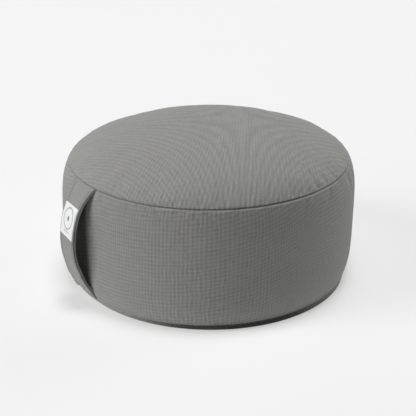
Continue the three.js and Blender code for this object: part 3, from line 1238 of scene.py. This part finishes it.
@dataclass
class CarryStrap:
    """The strap: one strip of canvas folded double, edge stitched, with both ends caught in the seams."""

    route: StrapRoute = field(default_factory=StrapRoute)
    layer: float = 1.05 * MM
    layer_gap: float = 0.8 * MM
    layer_step: float = 0.6 * MM
    steps: int = 220
    edge_round: float = 0.5 * MM
    edge_sways: tuple[tuple[float, float, float], ...] = ((0.15 * MM, 31, 0.4), (0.1 * MM, 67, 0.0))
    gap_at_ends: float = 0.5
    gap_bow: float = 0.6
    gap_sway: tuple[float, float] = (0.12, 19)
    stitch_from_edge: float = 3.2 * MM
    stitch_dimple: float = 0.5 * MM
    dimple_width: float = 1.2 * MM
    face_places: tuple[float, ...] = (1.0, 0.93, 0.88, 0.84, 0.80, 0.74, 0.5)
    between_points: int = 6
    fold_start: float = 0.15
    edge_start: float = 0.3
    stitch_length: float = 2.6 * MM
    stitch_pitch: float = 3.4 * MM
    stitch_sink: float = 0.1 * MM

    def _section(self, step: int) -> np.ndarray:
        """The strap's section at a step: two layers joined by a fold at the -X edge, open at the +X edge.

        Args:
            step: the step along the strap.

        Returns:
            The points, each with its way across, its way out and its place on the cloth as cut.
        """
        share = step / self.steps
        sway = sum(size * math.sin(rate * share + shift) for size, rate, shift in self.edge_sways)
        half = self.route.width / 2 + sway
        bow = self.gap_bow * math.sin(math.pi * share) + self.gap_sway[0] * math.sin(self.gap_sway[1] * share)
        spread = self.layer_gap * (self.gap_at_ends + bow)
        top, upper = 0.0, -self.layer
        lower, bottom = -self.layer - spread, -2 * self.layer - spread
        curve = self.edge_round

        def face(level: float, inward: float) -> list[tuple[float, float]]:
            """One face from the +X edge to the -X edge, with a dimple along each row of stitches."""
            right = np.array(self.face_places)
            flat = (half - curve) * np.concatenate([right, [0.0], -right[:0:-1]])
            line = half - self.stitch_from_edge
            dip = self.stitch_dimple * sum(bell(flat + at, self.dimple_width) for at in (-line, line))
            return [(float(x), float(level - inward * d)) for x, d in zip(flat, dip)]

        def rounded(
            at: float, way: int, high: float, low: float, turns: np.ndarray
        ) -> list[tuple[float, float]]:
            """A rounded edge: a half turn of the cloth, or the cut edge of one layer."""
            middle, rise = (high + low) / 2, (high - low) / 2
            across = at + way * curve * (np.sin(turns) - 1)
            up = middle - way * rise * np.cos(turns)
            return list(zip(across.tolist(), up.tolist()))

        outer = face(top, 1.0)
        inner = face(bottom, -1.0)
        between = np.linspace(-half + 2 * curve, half - curve, self.between_points)
        between_top = [(x, upper) for x in between]
        between_low = [(x, lower) for x in between[::-1]]
        fold = rounded(-half, -1, top, bottom, np.linspace(self.fold_start, math.pi - self.fold_start, 7))
        edge_turns = np.linspace(self.edge_start, math.pi - self.edge_start, 5)
        lip_top = rounded(half, 1, top, upper, edge_turns)
        lip_low = rounded(half + self.layer_step, 1, lower, bottom, edge_turns)
        outline = outer + fold + inner[::-1] + lip_low + between_low + between_top + lip_top
        ways = ways_along(np.array(outline))
        return np.array([(x, z, way) for (x, z), way in zip(outline, ways)])

    def build(self, canvas: bpy.types.Material, thread: bpy.types.Material) -> bpy.types.Object:
        """Make the strap and its stitching.

        Args:
            canvas: the strap's finish.
            thread: the stitching's finish.

        Returns:
            The strap's object.
        """
        shares = np.linspace(0, 1, self.steps + 1)
        strap = ribbon("carry_strap", self.route, shares, self._section, canvas)
        dress(strap, "strap", "handle")
        right = self._stitches("strap_stitches_right", 1, thread)
        left = self._stitches("strap_stitches_left", -1, thread)
        flat = (2 * self.route.width + 2 * self.layer, self.route.length())
        return strap

    def _stitches(self, name: str, side: int, thread: bpy.types.Material) -> bpy.types.Object:
        """One row of stitches along an edge.

        Args:
            name: the row's name.
            side: 1 for the +X edge and -1 for the -X edge.
            thread: its finish.

        Returns:
            The row's object.
        """
        length = self.route.length()
        count = int(length / self.stitch_pitch) - 3
        shares = (np.arange(count) + 2.0) * self.stitch_pitch / length
        middle, across, out = self.route.frames(shares)
        along = unit(np.gradient(middle, axis=0))
        offset = side * (self.route.width / 2 - self.stitch_from_edge)
        row = StitchRow(name, self.stitch_length)
        return row.build(middle + across * offset - out * self.stitch_sink, along, out, thread, "strap")


@dataclass
class StitchRow:
    """A row of separate thread stitches, joined into one mesh."""

    name: str
    length: float
    thickness: float = 0.45 * MM
    sides: int = 6
    rings: int = 7
    arch: float = 0.6
    thin_end: float = 0.35

    def build(
        self, places: np.ndarray, along: np.ndarray, out: np.ndarray, thread: bpy.types.Material, slot: str
    ) -> bpy.types.Object:
        """Make the row.

        Args:
            places: the middle of each stitch.
            along: each stitch's direction.
            out: the way out of the cloth at each stitch.
            thread: the finish.
            slot: the record's material slot.

        Returns:
            The row's object.
        """
        vertices: list[np.ndarray] = []
        faces: list[tuple[int, ...]] = []
        cut: list[tuple[float, float]] = []
        steps = np.linspace(-1, 1, self.rings)
        turns = np.arange(self.sides) / self.sides * FULL_TURN
        for place, forward, outward in zip(places, along, out):
            start = len(vertices)
            sideways = np.cross(forward, outward)
            for step in steps:
                full = max(1 - step**2, 0.0) ** 0.5
                lift = self.thickness * self.arch * (full - 0.5)
                centre = place + forward * (step * self.length / 2) + outward * lift
                radius = self.thickness / 2 * (self.thin_end + (1 - self.thin_end) * full)
                vertices += [
                    centre + radius * (sideways * math.cos(turn) + outward * math.sin(turn)) for turn in turns
                ]
            for ring in range(self.rings - 1):
                near, far = steps[ring] * self.length / 2, steps[ring + 1] * self.length / 2
                for i in range(self.sides):
                    after = (i + 1) % self.sides
                    here, there = start + ring * self.sides, start + (ring + 1) * self.sides
                    faces.append((here + i, here + after, there + after, there + i))
                    low, high = i * self.thickness / 2, (i + 1) * self.thickness / 2
                    cut += [(near, low), (near, high), (far, high), (far, low)]
            end = start + (self.rings - 1) * self.sides
            faces.append(tuple(start + i for i in reversed(range(self.sides))))
            faces.append(tuple(end + i for i in range(self.sides)))
            cut += [(0.0, 0.0)] * (2 * self.sides)
        piece = make_piece(self.name, np.array(vertices), faces, thread, np.array(cut))
        return dress(piece, slot)


@dataclass
class StrapLabel:
    """The white label across the strap, with its ends turned under."""

    route: StrapRoute = field(default_factory=StrapRoute)
    width: float = 35.4 * MM
    offset: float = 0.8 * MM
    top: float = 115.5 * MM
    bottom: float = 81.5 * MM
    thickness: float = 0.6 * MM
    lift: float = 0.1 * MM
    sink: float = 0.05 * MM
    side_sway: tuple[float, float] = (0.12 * MM, 9)
    side_round: float = 0.15 * MM
    turned_end: tuple[float, float] = (0.25 * MM, 0.09)
    end_round: tuple[float, float] = (0.35 * MM, 0.02)
    stitch_dimple: tuple[float, float] = (0.12 * MM, 0.8 * MM)
    columns: int = 17
    steps: int = 48
    stitch_from_edge: float = 1.6 * MM
    stitch_length: float = 1.7 * MM
    stitch_thickness: float = 0.3 * MM
    stitch_pitch: float = 2.3 * MM

    def _section(self, step: int) -> np.ndarray:
        """The label's section at a step.

        Args:
            step: the step along the label.

        Returns:
            The points, each with its way across, its way out and its place on the cloth as cut.
        """
        share = step / self.steps
        half = self.width / 2 - self.side_sway[0] * math.sin(self.side_sway[1] * share)
        to_end = np.array([share, share - 1])
        raised = self.turned_end[0] * bell(to_end, self.turned_end[1]).sum()
        rounded = self.end_round[0] * bell(to_end, self.end_round[1]).sum()
        top = self.lift + self.thickness + float(raised - rounded)
        across = (half - self.side_round) * np.linspace(1, -1, self.columns)
        dip, reach = self.stitch_dimple
        dips = dip * bell(abs(across) - half + self.stitch_from_edge, reach)
        rows = [(float(x) + self.offset, top - float(down)) for x, down in zip(across, dips)]
        under = [(float(x) + self.offset, -self.sink) for x in across[::-1]]
        middle = (top + self.lift) / 2
        outline = rows + [(self.offset - half, middle)] + under + [(self.offset + half, middle)]
        ways = ways_along(np.array(outline))
        return np.array([(x, z, way) for (x, z), way in zip(outline, ways)])

    def build(self, tape: bpy.types.Material, thread: bpy.types.Material) -> bpy.types.Object:
        """Make the label and its stitching.

        Args:
            tape: the label's finish.
            thread: the stitching's finish.

        Returns:
            The label's object.
        """
        start, end = self.route.share_at(self.top), self.route.share_at(self.bottom)
        shares = np.linspace(start, end, self.steps + 1)
        label = ribbon("strap_label", self.route, shares, self._section, tape)
        dress(label, "label", "label")
        stitches = self._stitches(start, end, thread)
        length = (end - start) * self.route.length()
        return label

    def _stitches(self, start: float, end: float, thread: bpy.types.Material) -> bpy.types.Object:
        """The stitches round the label, just inside its edge.

        Args:
            start: the share of the strap's length at the label's top.
            end: the share at its bottom.
            thread: the finish.

        Returns:
            The stitches' object.
        """
        length = self.route.length()
        inset = self.stitch_from_edge / length
        places, ways, outs = [], [], []
        down = int(((end - start) * length - 2 * self.stitch_from_edge) / self.stitch_pitch)
        shares = np.linspace(start + inset, end - inset, down)
        middle, across, out = self.route.frames(shares)
        along = unit(np.gradient(middle, axis=0))
        line = self.width / 2 - self.stitch_from_edge
        raise_by = self.lift + self.thickness

        def add(step: int, place: float, way: np.ndarray) -> None:
            """Put one stitch at a step down the label and a place across it."""
            places.append(middle[step] + across[step] * (place + self.offset) + out[step] * raise_by)
            ways.append(way)
            outs.append(out[step])

        for side in (1, -1):
            for step in range(1, down - 1):
                add(step, side * line, along[step])
        count = int(2 * line / self.stitch_pitch)
        for end_step in (0, down - 1):
            for place in np.linspace(-line, line, count):
                add(end_step, place, across[end_step])
        row = StitchRow("label_stitches", self.stitch_length, self.stitch_thickness)
        return row.build(np.array(places), np.array(ways), np.array(outs), thread, "label")


@dataclass(frozen=True)
class Lamp:
    """One square soft light.

    Attributes:
        name: its name.
        turn: how far round from the camera it hangs, in degrees.
        elevation: how high it hangs, in degrees.
        away: how far off it is, in metres.
        size: its side, in metres.
        power: its power, in watts.
        shades: whether what it lights casts a shadow.
    """

    name: str
    turn: float
    elevation: float
    away: float
    size: float
    power: float
    shades: bool = True


@dataclass
class Studio:
    """The pale floor, the soft lights and the camera."""

    azimuth: float = 57.0
    elevation: float = 23.17
    distance: float = 1.3828
    target: tuple[float, float, float] = (0.78 * MM, 1.21 * MM, 72.14 * MM)
    frame_pixels: int = 416
    focal_pixels: float = 1200.0
    sensor: float = 36.0
    floor_size: float = 40.0
    floor_drop: float = 0.02 * MM
    lamp_aim: float = 80 * MM
    sight: float = 100.0
    world_strength: float = 0.0
    lamps: tuple[Lamp, ...] = (
        Lamp("overhead", 110, 86, 10.0, 3.0, 360),
        Lamp("overhead_left", -70, 78, 10.0, 3.0, 54),
        Lamp("back_even", 180, 60, 20.0, 12.0, 2400, shades=False),
        Lamp("key_left", -84, 3, 5.0, 1.6, 121),
        Lamp("key_front", -60, 3, 5.0, 1.6, 61),
        Lamp("key_high", -73, 40, 5.0, 1.6, 41),
        Lamp("rim_low", 117, 8, 6.0, 3.0, 138),
        Lamp("rim_back", 180, 8, 6.0, 3.0, 18),
    )

    def build(self) -> None:
        """Put up the studio."""
        self._floor()
        self._lights()
        self._camera()

    def direction(self, azimuth: float, elevation: float) -> Vector:
        """The way from the cushion towards an azimuth and an elevation.

        Args:
            azimuth: how far round it is, in degrees.
            elevation: how high it is, in degrees.

        Returns:
            The way.
        """
        turn, lift = math.radians(azimuth), math.radians(elevation)
        return Vector((math.sin(turn) * math.cos(lift), -math.cos(turn) * math.cos(lift), math.sin(lift)))

    def _floor(self) -> None:
        """Lay the floor."""
        half = self.floor_size / 2
        corners = np.array([(-half, -half, 0), (half, -half, 0), (half, half, 0), (-half, half, 0)], float)
        corners[:, 2] = -self.floor_drop
        floor = make_piece("studio_floor", corners, [(0, 1, 2, 3)], FloorFinish().build())

    def _area(self, lamp: Lamp) -> None:
        """Hang one square soft light that faces the cushion.

        Args:
            lamp: the light.
        """
        data = bpy.data.lights.new(lamp.name, "AREA")
        data.shape = "SQUARE"
        data.size = lamp.size
        data.energy = lamp.power
        data.use_shadow = lamp.shades
        light = bpy.data.objects.new(lamp.name, data)
        way = self.direction(self.azimuth + lamp.turn, lamp.elevation)
        light.location = Vector((0, 0, self.lamp_aim)) + way * lamp.away
        light.rotation_euler = way.to_track_quat("Z", "Y").to_euler()
        bpy.context.scene.collection.objects.link(light)

    def _lights(self) -> None:
        """Hang the lights and set the air's own light."""
        for lamp in self.lamps:
            self._area(lamp)
        world = bpy.data.worlds.new("studio_air")
        world.use_nodes = True
        backdrop = world.node_tree.nodes["Background"]
        backdrop.inputs["Color"].default_value = (1.0, 1.0, 1.0, 1.0)
        backdrop.inputs["Strength"].default_value = self.world_strength
        bpy.context.scene.world = world
        bpy.context.scene.view_settings.view_transform = "Standard"

    def _camera(self) -> None:
        """Set the camera at the photo's angle."""
        lens = bpy.data.cameras.new("camera")
        lens.sensor_width = self.sensor
        lens.lens = self.sensor * self.focal_pixels / self.frame_pixels
        lens.clip_end = self.sight
        camera = bpy.data.objects.new("camera", lens)
        way = self.direction(self.azimuth, self.elevation)
        camera.location = Vector(self.target) + way * self.distance
        camera.rotation_euler = way.to_track_quat("Z", "Y").to_euler()
        bpy.context.scene.collection.objects.link(camera)
        bpy.context.scene.camera = camera


def main() -> None:
    """Build the cushion and its studio, piece by piece."""
    logging.basicConfig(level=logging.INFO, format="%(name)s: %(message)s")
    # shares of painted shade in the cover's colour: at its foot, in its top seam and behind the strap
    shades = {"foot_shade": 0.72, "seam_shade": 0.45, "strap_shade": 0.7}
    cover_canvas = CanvasFinish("grey_canvas", (0.258, 0.2575, 0.247), **shades).build()
    strap_canvas = CanvasFinish("strap_canvas", (0.252, 0.2515, 0.2415), rib_contrast=(0.0, 0.0)).build()
    grey_thread = ThreadFinish("grey_thread", (0.21, 0.2095, 0.201)).build()
    white_tape = TapeFinish("white_tape", (0.78, 0.78, 0.79)).build()
    white_thread = ThreadFinish("white_thread", (0.52, 0.52, 0.52)).build()
    Studio().build()
    CushionCover().build(cover_canvas)
    CarryStrap().build(strap_canvas, grey_thread)
    StrapLabel().build(white_tape, white_thread)


if __name__ == "__main__":
    main()
